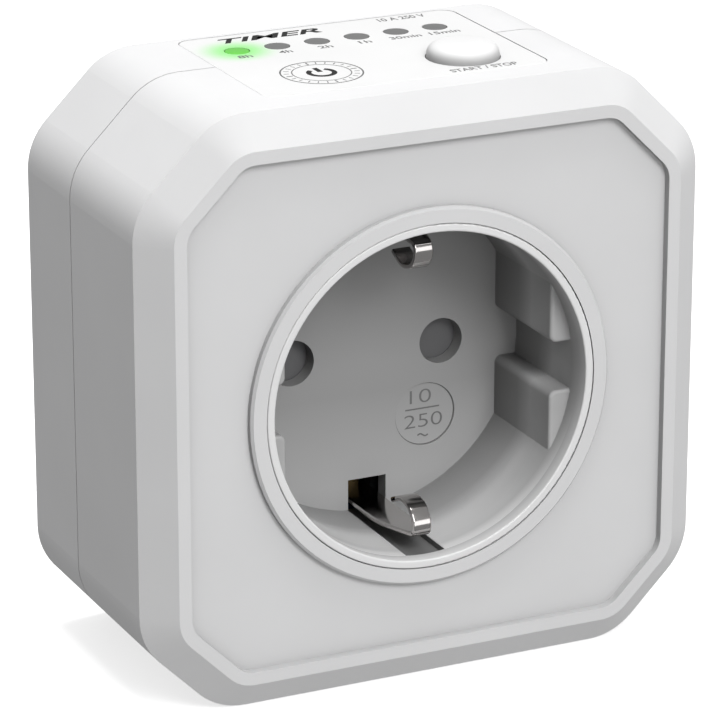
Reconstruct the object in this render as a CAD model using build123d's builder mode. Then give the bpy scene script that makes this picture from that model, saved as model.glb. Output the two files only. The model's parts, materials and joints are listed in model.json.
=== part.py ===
from build123d import *
import math
import os

# Plug-in timer socket. +Z is up, the socket faces -Y and the plug leaves along +Y.
# The origin is the centre of the plug's engagement face, midway between the two pins.
# All sizes are in millimetres.

# --- Driving dimensions -------------------------------------------------------------
PIN_SPACING = 19.0
PIN_RADIUS = 2.4
PIN_LENGTH = 19.0
PIN_EMBED = 8.0
SHANK_RADIUS = 2.0
BOSS_LENGTH = 18.0
BOSS_RADIUS = 18.5
BOSS_FLAT = 16.2
BOSS_KEY = 2.6
BODY_DEPTH = 35.0
BODY_HALF = 34.75
BODY_RISE = 0.3
TOP_CUT = 9.95
BOTTOM_CUT = 9.4
CORNER_RADIUS = 8.0
WALL = 2.0
PARTING_FROM_FRONT = 21.2
SEAM_GAP = 0.2
BEVEL_DEPTH = 3.0
BEVEL_INSET = 3.6
BAND_INSET = 5.1
RECESS_DEPTH = 1.0
RING_RADIUS = 22.0
RING_HOLE = 20.42
CUP_RIM_RADIUS = 20.35
CUP_RADIUS = 20.9
CUP_FLANGE_RADIUS = 23.0
WELL_RADIUS = 19.4
WELL_DEPTH = 17.35
FLOOR_THICKNESS = 2.0
PIN_HOLE_RADIUS = 2.75

# --- Planes along the depth ---------------------------------------------------------
BODY_REAR = -BOSS_LENGTH
FRONT = BODY_REAR - BODY_DEPTH
PARTING = FRONT + PARTING_FROM_FRONT
RECESS = FRONT + RECESS_DEPTH
PLATE_BACK = FRONT + BEVEL_DEPTH
REAR_INSIDE = BODY_REAR - WALL
FLOOR_FRONT = FRONT + WELL_DEPTH
FLOOR_BACK = FLOOR_FRONT + FLOOR_THICKNESS
TOP_FACE = BODY_RISE + BODY_HALF
PIN_X = PIN_SPACING / 2

# --- Inside stack -------------------------------------------------------------------
SHUTTER_GAP = 2.05
BASE_FRONT = FLOOR_BACK + SHUTTER_GAP
BASE_THICKNESS = 2.0
BASE_BACK = BASE_FRONT + BASE_THICKNESS
STRAP_THICKNESS = 0.8
POWER_BOARD_FRONT = -23.6
POWER_BOARD_BACK = -22.0
POWER_BOARD_WINDOW = 17.5
SCREW_GRID = 52.0
POST_GRID = 27.0
CONTROL_BOARD_TOP = 29.2
BOARD_THICKNESS = 1.2

# --- Top panel ----------------------------------------------------------------------
PANEL_LEFT = -16.9
PANEL_RIGHT = 18.2
PANEL_FRONT = FRONT + 7.1
PANEL_REAR = FRONT + 33.3
PANEL_THICKNESS = 1.5
PANEL_CORNER = 1.8
PANEL_GAP = 0.06
LEDGE = 1.4
PAD_THICKNESS = 3.0
LED_FIRST_X = -11.95
LED_PITCH = 5.0
LED_Y = FRONT + 26.6
LED_RADIUS = 1.45
BUTTON_X = 10.2
BUTTON_Y = FRONT + 13.6
BUTTON_RADIUS = 4.1
BUTTON_PROUD = 1.7
BUTTON_TRAVEL = 0.5
PANEL_UNDERSIDE = TOP_FACE - PANEL_THICKNESS
PANEL_X = (PANEL_LEFT + PANEL_RIGHT) / 2
PANEL_Y = (PANEL_FRONT + PANEL_REAR) / 2
PANEL_WIDTH = PANEL_RIGHT - PANEL_LEFT
PANEL_LENGTH = PANEL_REAR - PANEL_FRONT

os.makedirs("parts", exist_ok=True)


def save(part, name):
    """Label a finished piece and write it as one STEP file."""
    part.label = name
    export_step(part, f"parts/{name}.step")


def at_depth(y):
    """A sketch plane across the depth: sketch x is +X, sketch y is +Z, normal is -Y."""
    return Plane(origin=(0, y, 0), x_dir=(1, 0, 0), z_dir=(0, -1, 0))


def at_height(z):
    """A level sketch plane at height z: sketch x is +X and sketch y is +Y."""
    return Plane.XY.offset(z)


def side_plane(x):
    """A sketch plane facing +X: sketch x is +Y and sketch y is +Z."""
    return Plane.YZ.offset(x)


def outline_points(inset):
    """Corners of the body's eight-sided outline, moved inwards by inset."""
    half = BODY_HALF - inset
    shrink = inset * (2 - math.sqrt(2))
    top = TOP_CUT - shrink
    bottom = BOTTOM_CUT - shrink
    low = BODY_RISE - half
    high = BODY_RISE + half
    return [
        (-half + bottom, low),
        (half - bottom, low),
        (half, low + bottom),
        (half, high - top),
        (half - top, high),
        (-half + top, high),
        (-half, high - top),
        (-half, low + bottom),
    ]


def body_outline(inset, mode=Mode.ADD):
    """The rounded eight-sided outline, drawn in the sketch that is open."""
    radius = max(CORNER_RADIUS - inset, 1.0)
    points = outline_points(inset)
    with BuildLine() as loop:
        FilletPolyline(*points, radius=radius, close=True)
    make_face(loop.edges(), mode=mode)


def block(low, high, mode=Mode.ADD):
    """An upright box from its low corner to its high corner."""
    size = [b - a for a, b in zip(low, high)]
    middle = [(a + b) / 2 for a, b in zip(low, high)]
    with Locations(tuple(middle)):
        Box(*size, mode=mode)


def rod(x, z, radius, y_from, y_to, mode=Mode.ADD):
    """A round bar along Y between two depths."""
    with BuildSketch(at_depth(y_to)) as disc:
        with Locations((x, z)):
            Circle(radius)
    extrude(disc.sketch, amount=y_to - y_from, mode=mode)


def post(x, y, radius, z_from, z_to, mode=Mode.ADD):
    """A round bar along Z between two heights."""
    with BuildSketch(at_height(z_from)) as disc:
        with Locations((x, y)):
            Circle(radius)
    extrude(disc.sketch, amount=z_to - z_from, mode=mode)


screw_points = [
    (x, BODY_RISE + z)
    for x in (-SCREW_GRID / 2, SCREW_GRID / 2)
    for z in (-SCREW_GRID / 2, SCREW_GRID / 2)
]
post_points = [(x, z) for x in (-POST_GRID / 2, POST_GRID / 2) for z in (-POST_GRID / 2, POST_GRID / 2)]
led_points = [LED_FIRST_X + LED_PITCH * index for index in range(6)]
led_names = ["led_8h", "led_4h", "led_2h", "led_1h", "led_30min", "led_15min"]


def cut_panel_seat():
    """Cut the top panel's seat and the opening inside its ledge from the open part."""
    reach = PANEL_GAP
    with BuildSketch(at_height(PANEL_UNDERSIDE)) as seat:
        with Locations((PANEL_X, PANEL_Y)):
            RectangleRounded(PANEL_WIDTH + 2 * reach, PANEL_LENGTH + 2 * reach, PANEL_CORNER + reach)
    extrude(seat.sketch, amount=PANEL_THICKNESS + 1, mode=Mode.SUBTRACT)
    with BuildSketch(at_height(TOP_FACE - PAD_THICKNESS - 1)) as opening:
        with Locations((PANEL_X, PANEL_Y)):
            Rectangle(PANEL_WIDTH - 2 * LEDGE, PANEL_LENGTH - 2 * LEDGE)
    extrude(opening.sketch, amount=PAD_THICKNESS + 1, mode=Mode.SUBTRACT)


# --- Front housing: bevelled face, raised band, sunk plate and socket ring -------------
BOSS_WALL_RADIUS = 3.4
PILOT_RADIUS = 1.45
TONGUE_INSET = 1.1
TONGUE_LENGTH = 1.5

with BuildPart() as front_housing:
    with BuildSketch(at_depth(PARTING)):
        body_outline(0)
    extrude(amount=PARTING - PLATE_BACK)
    with BuildSketch(at_depth(PLATE_BACK)):
        body_outline(0)
    with BuildSketch(at_depth(FRONT)):
        body_outline(BEVEL_INSET)
    loft(ruled=True)
    with BuildSketch(at_depth(RECESS)):
        body_outline(BAND_INSET)
    extrude(amount=RECESS_DEPTH + 1, mode=Mode.SUBTRACT)
    with BuildSketch(at_depth(RECESS + 0.5)):
        Circle(RING_RADIUS + 0.3)
    extrude(amount=0.5 + RECESS_DEPTH)
    ring_edge = front_housing.edges().filter_by(GeomType.CIRCLE).sort_by(Axis.Y)[0]
    chamfer(ring_edge, 0.3)
    with BuildSketch(at_depth(PARTING)):
        body_outline(WALL)
    extrude(amount=PARTING - PLATE_BACK, mode=Mode.SUBTRACT)
    pad_low = (PANEL_LEFT - 2, PANEL_FRONT - 2, TOP_FACE - PAD_THICKNESS)
    pad_high = (PANEL_RIGHT + 2, PARTING - TONGUE_LENGTH - 0.3, TOP_FACE - 1)
    block(pad_low, pad_high)
    cut_panel_seat()
    for x, z in screw_points:
        rod(x, z, BOSS_WALL_RADIUS, PLATE_BACK - 0.5, PARTING)
        rod(x, z, PILOT_RADIUS, -43.0, PARTING + 1, Mode.SUBTRACT)
    with BuildSketch(at_depth(PARTING)):
        body_outline(TONGUE_INSET - 0.1)
        body_outline(WALL + 0.1, Mode.SUBTRACT)
    extrude(amount=TONGUE_LENGTH + 0.2, mode=Mode.SUBTRACT)
    rod(0, 0, RING_HOLE, FRONT - 1, PLATE_BACK + 1, Mode.SUBTRACT)
save(front_housing.part, "front_housing")

# --- Rear housing: back shell with a round hole that the plug boss stands in ------------
SCREW_HEAD_SEAT = -21.0
SCREW_HEAD_RADIUS = 2.75
BOSS_FIT_GAP = 0.06

with BuildPart() as rear_housing:
    with BuildSketch(at_depth(BODY_REAR)):
        body_outline(0)
    extrude(amount=BODY_REAR - PARTING - SEAM_GAP)
    rear_edges = rear_housing.faces().sort_by(Axis.Y)[-1].edges()
    fillet(rear_edges, 0.9)
    with BuildSketch(at_depth(REAR_INSIDE)):
        body_outline(WALL)
    extrude(amount=REAR_INSIDE - PARTING, mode=Mode.SUBTRACT)
    with BuildSketch(at_depth(PARTING + 1.2)):
        body_outline(TONGUE_INSET)
        body_outline(WALL, Mode.SUBTRACT)
    extrude(amount=1.2 + TONGUE_LENGTH)
    pad_low = (PANEL_LEFT - 2, PARTING + SEAM_GAP, TOP_FACE - PAD_THICKNESS)
    pad_high = (PANEL_RIGHT + 2, REAR_INSIDE + 0.5, TOP_FACE - 1)
    block(pad_low, pad_high)
    rod(0, 0, BOSS_RADIUS + BOSS_FIT_GAP, REAR_INSIDE - 1, BODY_REAR + 1, Mode.SUBTRACT)
    cut_panel_seat()
    for x, z in screw_points:
        rod(x, z, BOSS_WALL_RADIUS, PARTING + SEAM_GAP, REAR_INSIDE + 0.5)
        rod(x, z, PILOT_RADIUS + 0.15, PARTING - 1, BODY_REAR + 1, Mode.SUBTRACT)
        rod(x, z, SCREW_HEAD_RADIUS + 0.2, SCREW_HEAD_SEAT, BODY_REAR + 1, Mode.SUBTRACT)
save(rear_housing.part, "rear_housing")

# --- Plug boss: hollow round plug body with earth grooves, pin holes and a flange -------
BOSS_CAVITY = 16.0
BOSS_CAVITY_HALF = 13.4
BOSS_END = 3.0
BOSS_FLANGE_RADIUS = 20.6
BOSS_FLANGE_FRONT = REAR_INSIDE - 1.0
EARTH_GROOVE_HALF = 2.8
EARTH_GROOVE_FLOOR = 15.4
EARTH_STRIP_THICKNESS = 0.8
EARTH_PIN_Z = 10.0
EARTH_PIN_RADIUS = 2.5

with BuildPart() as plug_boss:
    with BuildSketch(at_depth(0)):
        Circle(BOSS_RADIUS)
        Rectangle(2 * BOSS_FLAT, 2 * BOSS_RADIUS, mode=Mode.INTERSECT)
    extrude(amount=-BODY_REAR)
    with BuildSketch(at_depth(0)):
        Circle(BOSS_RADIUS)
        Rectangle(2 * BOSS_RADIUS, 2 * BOSS_KEY, mode=Mode.INTERSECT)
    extrude(amount=-BODY_REAR)
    boss_rim = plug_boss.faces().sort_by(Axis.Y)[-1].edges()
    chamfer(boss_rim, 0.5)
    rod(0, 0, BOSS_RADIUS, BOSS_FLANGE_FRONT, BODY_REAR)
    rod(0, 0, BOSS_FLANGE_RADIUS, BOSS_FLANGE_FRONT, REAR_INSIDE)
    with BuildSketch(at_depth(-BOSS_END)):
        Circle(BOSS_CAVITY)
        Rectangle(2 * (BOSS_FLAT - 2), 2 * BOSS_CAVITY_HALF, mode=Mode.INTERSECT)
    extrude(amount=-BOSS_FLANGE_FRONT - BOSS_END + 1, mode=Mode.SUBTRACT)
    for x in (-PIN_X, PIN_X):
        rod(x, 0, PIN_RADIUS + 1.8, -PIN_EMBED, -BOSS_END)
        rod(x, 0, SHANK_RADIUS, -PIN_EMBED - 1, 1, Mode.SUBTRACT)
    rod(0, EARTH_PIN_Z, EARTH_PIN_RADIUS, -BOSS_END - 1, 1, Mode.SUBTRACT)
    for side in (-1, 1):
        floor = side * EARTH_GROOVE_FLOOR
        outer = side * (BOSS_RADIUS + 1)
        strip = side * (EARTH_GROOVE_FLOOR + EARTH_STRIP_THICKNESS)
        groove_low = (-EARTH_GROOVE_HALF, BODY_REAR, min(floor, outer))
        groove_high = (EARTH_GROOVE_HALF, 1, max(floor, outer))
        block(groove_low, groove_high, Mode.SUBTRACT)
        slot_low = (-2.1, BOSS_FLANGE_FRONT - 1, min(floor, strip))
        slot_high = (2.1, BODY_REAR + 1, max(floor, strip))
        block(slot_low, slot_high, Mode.SUBTRACT)
save(plug_boss.part, "plug_boss")

# --- Socket insert: the well, its guide ribs, pin holes and earth slots ----------------
RIB_FACE = 16.57
RIB_LOW = 2.9
RIB_HIGH = 10.3
RIB_FRONT = FRONT + 3.4
SLOT_HALF = 2.43
SLOT_INNER = 15.5
GROOVE_BOTTOM = 19.95
GROOVE_FRONT = FRONT + 1.8
BADGE_X = 7.5
BADGE_Z = -8.77
BADGE_RADIUS = 3.85
BASE_SCREW_X = 16.8

with BuildPart() as socket_insert:
    rod(0, 0, CUP_RIM_RADIUS, FRONT, PLATE_BACK)
    rod(0, 0, CUP_FLANGE_RADIUS, PLATE_BACK, PLATE_BACK + 1.4)
    rod(0, 0, CUP_RADIUS, PLATE_BACK, FLOOR_BACK)
    rod(0, 0, WELL_RADIUS, FRONT - 1, FLOOR_FRONT, Mode.SUBTRACT)
    rim = socket_insert.edges().filter_by(GeomType.CIRCLE).group_by(Axis.Y)[0]
    fillet(rim, 0.2)
    for side in (-1, 1):
        for rise in (-1, 1):
            x_pair = sorted((side * RIB_FACE, side * (WELL_RADIUS + 0.6)))
            z_pair = sorted((rise * RIB_LOW, rise * RIB_HIGH))
            block((x_pair[0], RIB_FRONT, z_pair[0]), (x_pair[1], FLOOR_FRONT + 0.5, z_pair[1]))
        for rise in (-1, 1):
            corner = Vector(side * RIB_FACE, (RIB_FRONT + FLOOR_FRONT) / 2, rise * RIB_LOW)
            long_edge = socket_insert.edges().filter_by(Axis.Y).sort_by_distance(corner)[0]
            fillet(long_edge, 0.9)
        for rise in (-1, 1):
            nose = Vector(side * RIB_FACE, RIB_FRONT, rise * (RIB_LOW + RIB_HIGH) / 2)
            nose_edge = socket_insert.edges().filter_by(Axis.Z).sort_by_distance(nose)[0]
            fillet(nose_edge, 0.4)
    for x in (-PIN_X, PIN_X):
        rod(x, 0, PIN_HOLE_RADIUS, FLOOR_FRONT - 1, FLOOR_BACK + 1, Mode.SUBTRACT)
    for side in (-1, 1):
        z_pair = sorted((side * SLOT_INNER, side * GROOVE_BOTTOM))
        block((-SLOT_HALF, FLOOR_FRONT - 1, z_pair[0]), (SLOT_HALF, FLOOR_BACK + 1, z_pair[1]), Mode.SUBTRACT)
        block((-SLOT_HALF, GROOVE_FRONT, z_pair[0]), (SLOT_HALF, FLOOR_FRONT, z_pair[1]), Mode.SUBTRACT)
        rod(side * BASE_SCREW_X, 0, 2.4, FLOOR_BACK - 0.5, BASE_FRONT)
        rod(side * BASE_SCREW_X, 0, 1.1, FLOOR_FRONT + 0.6, BASE_FRONT + 1, Mode.SUBTRACT)
    rod(BADGE_X, BADGE_Z, BADGE_RADIUS, FLOOR_FRONT - 1, FLOOR_FRONT + 0.2, Mode.SUBTRACT)
save(socket_insert.part, "socket_insert")

# --- Contact base: carries the contacts, the shutter's pivot and the earth frame --------
BASE_RADIUS = 20.9
TOWER_OUTER_HALF = 4.1
TOWER_INNER_HALF = 3.1
TOWER_OUTER_HEIGHT = 4.6
TOWER_INNER_HEIGHT = 3.7
TOWER_END = -19.5
PIVOT_RADIUS = 1.5

with BuildPart() as contact_base:
    rod(0, 0, BASE_RADIUS, BASE_FRONT, BASE_BACK)
    rod(0, 0, PIVOT_RADIUS, FLOOR_BACK, BASE_FRONT + 0.5)
    rod(0, 0, 3.6, BASE_FRONT - 0.1, BASE_FRONT + 1.4, Mode.SUBTRACT)
    rod(0, 0, PIVOT_RADIUS, FLOOR_BACK, BASE_BACK)
    for x in (-PIN_X, PIN_X):
        tower_low = (x - TOWER_OUTER_HALF, BASE_BACK - 0.5, -TOWER_OUTER_HEIGHT)
        tower_high = (x + TOWER_OUTER_HALF, TOWER_END, TOWER_OUTER_HEIGHT)
        block(tower_low, tower_high)
        space_low = (x - TOWER_INNER_HALF, BASE_BACK - 0.5, -TOWER_INNER_HEIGHT)
        space_high = (x + TOWER_INNER_HALF, TOWER_END + 1, TOWER_INNER_HEIGHT)
        block(space_low, space_high, Mode.SUBTRACT)
        rod(x, 0, PIN_HOLE_RADIUS, BASE_FRONT - 1, BASE_BACK, Mode.SUBTRACT)
    for x, z in post_points:
        rod(x, z, 1.6, BASE_BACK - 0.5, BOSS_FLANGE_FRONT)
    for side in (-1, 1):
        z_pair = sorted((side * SLOT_INNER, side * (BASE_RADIUS + 1)))
        block((-SLOT_HALF, BASE_FRONT - 1, z_pair[0]), (SLOT_HALF, BASE_BACK + 1, z_pair[1]), Mode.SUBTRACT)
        rod(side * BASE_SCREW_X, 0, 1.25, BASE_FRONT - 1, BASE_BACK + 1, Mode.SUBTRACT)
save(contact_base.part, "contact_base")

# --- Child safety shutter: two blades on a hub, turned aside by a plug's pins -----------
SHUTTER_FRONT = FLOOR_BACK + 0.12
SHUTTER_BACK = SHUTTER_FRONT + 1.6
BLADE_RADIUS = 3.5

with BuildPart() as shutter:
    with BuildSketch(at_depth(SHUTTER_BACK)):
        Circle(4.0)
        Rectangle(PIN_SPACING, 4.4)
        with Locations((-PIN_X, 0), (PIN_X, 0)):
            Circle(BLADE_RADIUS)
        Circle(PIVOT_RADIUS + 0.08, mode=Mode.SUBTRACT)
    extrude(amount=SHUTTER_BACK - SHUTTER_FRONT)
save(shutter.part, "shutter")

# --- Shutter spring: a flat two-turn coil in the pocket behind the hub ------------------
SPRING_WIRE = 0.2
SPRING_RADIUS = 2.5
SPRING_PITCH = 0.5
COIL_START = BASE_FRONT + 0.15

with BuildPart() as shutter_spring:
    with BuildLine():
        coil = Helix(SPRING_PITCH, 2 * SPRING_PITCH, SPRING_RADIUS, center=(0, COIL_START, 0), direction=(0, 1, 0))
    with BuildSketch(Plane(origin=coil @ 0, z_dir=coil % 0)):
        Circle(SPRING_WIRE)
    sweep(path=coil, is_frenet=True)
save(shutter_spring.part, "shutter_spring")

# --- Live and neutral contacts: two bowed leaves joined by a web ------------------------
LEAF = 0.5
LEAF_HALF_WIDTH = 2.5
CONTACT_MOUTH = BASE_BACK + 0.3
WEB_FRONT = -15.4
LINK_HALF_WIDTH = 1.5
LINK_DROP = 11.2


def contact_leaves(x):
    """Draw both leaves and the web in the open part, centred on one pin."""
    upper = [(CONTACT_MOUTH, 3.4), (-25.5, 2.35), (-19.0, 3.2), (WEB_FRONT + LEAF / 2, 3.2)]
    lower = [(y, -z) for y, z in reversed(upper)]
    with BuildSketch(side_plane(x - LEAF_HALF_WIDTH)) as leaves:
        with BuildLine():
            Polyline(*upper, *lower)
        trace(line_width=LEAF)
    extrude(leaves.sketch, amount=2 * LEAF_HALF_WIDTH)


def board_link(x, foot_y, side):
    """A strip from a foot at foot_y, out past the leaves and back to the power board."""
    high = side * LINK_DROP
    z_foot = sorted((side * 1.0, high))
    z_run = sorted((high, high - side * STRAP_THICKNESS))
    z_tab = sorted((high - side * STRAP_THICKNESS, side * 20.5))
    x_low = x - LINK_HALF_WIDTH
    x_high = x + LINK_HALF_WIDTH
    tab_back = POWER_BOARD_BACK + STRAP_THICKNESS
    block((x_low, foot_y, z_foot[0]), (x_high, foot_y + STRAP_THICKNESS, z_foot[1]))
    block((x_low, POWER_BOARD_BACK, z_run[0]), (x_high, foot_y + STRAP_THICKNESS, z_run[1]))
    block((x_low, POWER_BOARD_BACK, z_tab[0]), (x_high, tab_back, z_tab[1]))


LINK_X = 9.0

with BuildPart() as neutral_contact:
    contact_leaves(-PIN_X)
save(neutral_contact.part, "neutral_contact")

with BuildPart() as live_contact:
    contact_leaves(PIN_X)
    board_link(LINK_X, WEB_FRONT + LEAF / 2 - 0.3, 1)
save(live_contact.part, "live_contact")

with BuildPart() as neutral_link:
    block((-PIN_X - 2, WEB_FRONT + LEAF, -0.4), (-PIN_X + 2, -PIN_EMBED, 0.4))
save(neutral_link.part, "neutral_link")

with BuildPart() as live_link:
    board_link(LINK_X, -PIN_EMBED - STRAP_THICKNESS, -1)
save(live_link.part, "live_link")

# --- Plug pins: turned brass with round noses and a thinner shank gripped in the boss ---
for name, x in (("plug_pin_left", -PIN_X), ("plug_pin_right", PIN_X)):
    with BuildPart() as plug_pin:
        rod(x, 0, SHANK_RADIUS, -PIN_EMBED, 0)
        rod(x, 0, PIN_RADIUS, 0, PIN_LENGTH)
        nose = plug_pin.edges().filter_by(GeomType.CIRCLE).sort_by(Axis.Y)[-1]
        fillet(nose, 1.8)
    save(plug_pin.part, name)

# --- Earth frame: a strap across the base with a leg to each plug earth contact ---------
LEG_HALF_WIDTH = 2.0
STRAP_BACK = BASE_BACK + STRAP_THICKNESS
LEG_INNER = EARTH_GROOVE_FLOOR - STRAP_THICKNESS

with BuildPart() as earth_frame:
    block((-1.8, BASE_BACK, -GROOVE_BOTTOM + 0.6), (1.8, STRAP_BACK, GROOVE_BOTTOM - 0.6))
    for side in (-1, 1):
        z_pair = sorted((side * LEG_INNER, side * EARTH_GROOVE_FLOOR))
        block((-LEG_HALF_WIDTH, BASE_BACK, z_pair[0]), (LEG_HALF_WIDTH, BOSS_FLANGE_FRONT, z_pair[1]))
save(earth_frame.part, "earth_frame")

# --- Plug earth contacts: bowed strips in the boss's top and bottom grooves -------------
for name, side in (("plug_earth_contact_top", 1), ("plug_earth_contact_bottom", -1)):
    with BuildPart() as plug_earth:
        with BuildSketch(side_plane(-LEG_HALF_WIDTH)):
            middle = EARTH_GROOVE_FLOOR + EARTH_STRIP_THICKNESS / 2
            with BuildLine():
                straight = Line((-26.0, side * middle), (-17.0, side * middle))
                bow = ThreePointArc(straight @ 1, (-10.0, side * (middle + 0.9)), (-3.0, side * middle))
            trace(line_width=EARTH_STRIP_THICKNESS)
        extrude(amount=2 * LEG_HALF_WIDTH)
    save(plug_earth.part, name)

# --- Earth pin receptacle: a sleeve behind the plug's earth hole, with a tail -----------
with BuildPart() as earth_pin_receptacle:
    rod(0, EARTH_PIN_Z, 3.0, -17.0, -BOSS_END)
    tail_z = EARTH_PIN_Z + 2.2
    block((-1.5, STRAP_BACK, tail_z), (1.5, -13.0, tail_z + 0.8))
    rod(0, EARTH_PIN_Z, EARTH_PIN_RADIUS, -18.0, -BOSS_END + 1, Mode.SUBTRACT)
save(earth_pin_receptacle.part, "earth_pin_receptacle")

# --- Earth clips: a strip along the well's wall, curled into a springy nose -------------
CLIP_HALF_WIDTH = 2.1
CLIP_NOSE_HALF_WIDTH = 1.15
CLIP_THICKNESS = 0.6
CLIP_STRIP_Z = 18.35
CLIP_TAIL = BASE_BACK - 0.06
CLIP_BEND = FRONT + 10.5
CLIP_NOSE = FRONT + 3.15
for name, side in (("earth_clip_top", 1), ("earth_clip_bottom", -1)):
    with BuildPart() as earth_clip:
        strip_bend = (CLIP_BEND, side * CLIP_STRIP_Z)
        nose_low = (CLIP_NOSE, side * 17.3)
        with BuildSketch(side_plane(-CLIP_HALF_WIDTH)):
            with BuildLine():
                Polyline((CLIP_TAIL, side * CLIP_STRIP_Z), strip_bend)
                Line(strip_bend, nose_low)
            trace(line_width=CLIP_THICKNESS)
        extrude(amount=2 * CLIP_HALF_WIDTH)
        # The strip narrows towards its nose.
        with BuildSketch(at_height(side * CLIP_STRIP_Z - 5)):
            with BuildLine():
                Polyline(
                    (-CLIP_HALF_WIDTH, CLIP_TAIL + 5),
                    (CLIP_HALF_WIDTH, CLIP_TAIL + 5),
                    (CLIP_HALF_WIDTH, CLIP_BEND),
                    (CLIP_NOSE_HALF_WIDTH, CLIP_NOSE),
                    (CLIP_NOSE_HALF_WIDTH, CLIP_NOSE - 5),
                    (-CLIP_NOSE_HALF_WIDTH, CLIP_NOSE - 5),
                    (-CLIP_NOSE_HALF_WIDTH, CLIP_NOSE),
                    (-CLIP_HALF_WIDTH, CLIP_BEND),
                    close=True,
                )
            make_face()
        extrude(amount=10, mode=Mode.INTERSECT)
        with BuildSketch(side_plane(-CLIP_NOSE_HALF_WIDTH)):
            with BuildLine():
                nose_top = (FRONT + 5.8, side * 14.15)
                Polyline(nose_low, (FRONT + 2.75, side * 16.9), (FRONT + 2.7, side * 16.3))
                ThreePointArc((FRONT + 2.7, side * 16.3), (FRONT + 3.75, side * 14.8), nose_top)
                ThreePointArc(nose_top, (FRONT + 7.3, side * 14.35), (FRONT + 8.5, side * 15.0))
            trace(line_width=CLIP_THICKNESS)
        extrude(amount=2 * CLIP_NOSE_HALF_WIDTH)
    save(earth_clip.part, name)

# --- Control panel with its light holes, button hole and legs ---------------------------
LEG_RADIUS = 1.6
panel_legs = [(-10.0, -42.0), (1.5, -42.0)]

with BuildPart() as control_panel:
    with BuildSketch(at_height(PANEL_UNDERSIDE)):
        with Locations((PANEL_X, PANEL_Y)):
            RectangleRounded(PANEL_WIDTH, PANEL_LENGTH, PANEL_CORNER)
    extrude(amount=PANEL_THICKNESS)
    fillet(control_panel.faces().sort_by(Axis.Z)[-1].edges(), 0.15)
    for x in led_points:
        post(x, LED_Y, LED_RADIUS + 0.05, PANEL_UNDERSIDE - 1, TOP_FACE + 1, Mode.SUBTRACT)
    post(BUTTON_X, BUTTON_Y, BUTTON_RADIUS + 0.2, PANEL_UNDERSIDE - 1, TOP_FACE + 1, Mode.SUBTRACT)
    for x, y in panel_legs:
        post(x, y, LEG_RADIUS, CONTROL_BOARD_TOP, PANEL_UNDERSIDE)
        post(x, y, 0.7, CONTROL_BOARD_TOP - 1, PANEL_UNDERSIDE - 0.5, Mode.SUBTRACT)
save(control_panel.part, "control_panel")

# --- Start button: domed cap, retaining flange and stem ---------------------------------
FLANGE_THICKNESS = 0.8
STEM_BOTTOM = 32.0

with BuildPart() as start_button:
    post(BUTTON_X, BUTTON_Y, BUTTON_RADIUS, PANEL_UNDERSIDE - 0.5, TOP_FACE + BUTTON_PROUD)
    cap_edge = start_button.edges().filter_by(GeomType.CIRCLE).sort_by(Axis.Z)[-1]
    fillet(cap_edge, 1.1)
    flange_top = PANEL_UNDERSIDE - 0.08
    post(BUTTON_X, BUTTON_Y, BUTTON_RADIUS + 0.9, flange_top - FLANGE_THICKNESS, flange_top)
    post(BUTTON_X, BUTTON_Y, 1.7, STEM_BOTTOM, flange_top)
save(start_button.part, "start_button")

SWITCH_HALF = 3.0
SWITCH_TOP = 31.2
PLUNGER_RADIUS = 1.55

with BuildPart() as tact_switch_body:
    switch_low = (BUTTON_X - SWITCH_HALF, BUTTON_Y - SWITCH_HALF, CONTROL_BOARD_TOP)
    switch_high = (BUTTON_X + SWITCH_HALF, BUTTON_Y + SWITCH_HALF, SWITCH_TOP)
    block(switch_low, switch_high)
    post(BUTTON_X, BUTTON_Y, PLUNGER_RADIUS + 0.08, CONTROL_BOARD_TOP + 0.6, SWITCH_TOP + 1, Mode.SUBTRACT)
save(tact_switch_body.part, "tact_switch_body")

with BuildPart() as tact_switch_plunger:
    post(BUTTON_X, BUTTON_Y, PLUNGER_RADIUS, STEM_BOTTOM - 1.6, STEM_BOTTOM)
save(tact_switch_plunger.part, "tact_switch_plunger")

# --- Lights: six round LEDs standing in a black holder ---------------------------------
LED_BASE = CONTROL_BOARD_TOP + 0.1
LED_FLANGE = 1.0

for name, x in zip(led_names, led_points):
    with BuildPart() as led:
        post(x, LED_Y, LED_RADIUS, LED_BASE, TOP_FACE + 0.05)
        post(x, LED_Y, LED_RADIUS + 0.25, LED_BASE, LED_BASE + LED_FLANGE)
        tip = led.edges().filter_by(GeomType.CIRCLE).sort_by(Axis.Z)[-1]
        fillet(tip, 0.3)
    save(led.part, name)

with BuildPart() as led_holder:
    holder_low = (led_points[0] - 2.5, LED_Y - 2.1, CONTROL_BOARD_TOP)
    holder_high = (led_points[-1] + 2.5, LED_Y + 2.1, PANEL_UNDERSIDE - 0.3)
    block(holder_low, holder_high)
    for x in led_points:
        post(x, LED_Y, LED_RADIUS + 0.35, CONTROL_BOARD_TOP - 1, PANEL_UNDERSIDE, Mode.SUBTRACT)
save(led_holder.part, "led_holder")

# --- Circuit boards ---------------------------------------------------------------------
CONTROL_BOARD_BOTTOM = CONTROL_BOARD_TOP - BOARD_THICKNESS
BOARD_LEFT = -20.0
BOARD_RIGHT = 21.0
BOARD_FRONT = -46.5
BOARD_REAR = -24.2
HEADER_X = [-17.0 + 2.54 * index for index in range(5)]
HEADER_Y = -25.3

with BuildPart() as control_board:
    block((BOARD_LEFT, BOARD_FRONT, CONTROL_BOARD_BOTTOM), (BOARD_RIGHT, BOARD_REAR, CONTROL_BOARD_TOP))
    for x, y in panel_legs:
        post(x, y, 0.9, CONTROL_BOARD_BOTTOM - 1, CONTROL_BOARD_TOP + 1, Mode.SUBTRACT)
save(control_board.part, "control_board")

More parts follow.
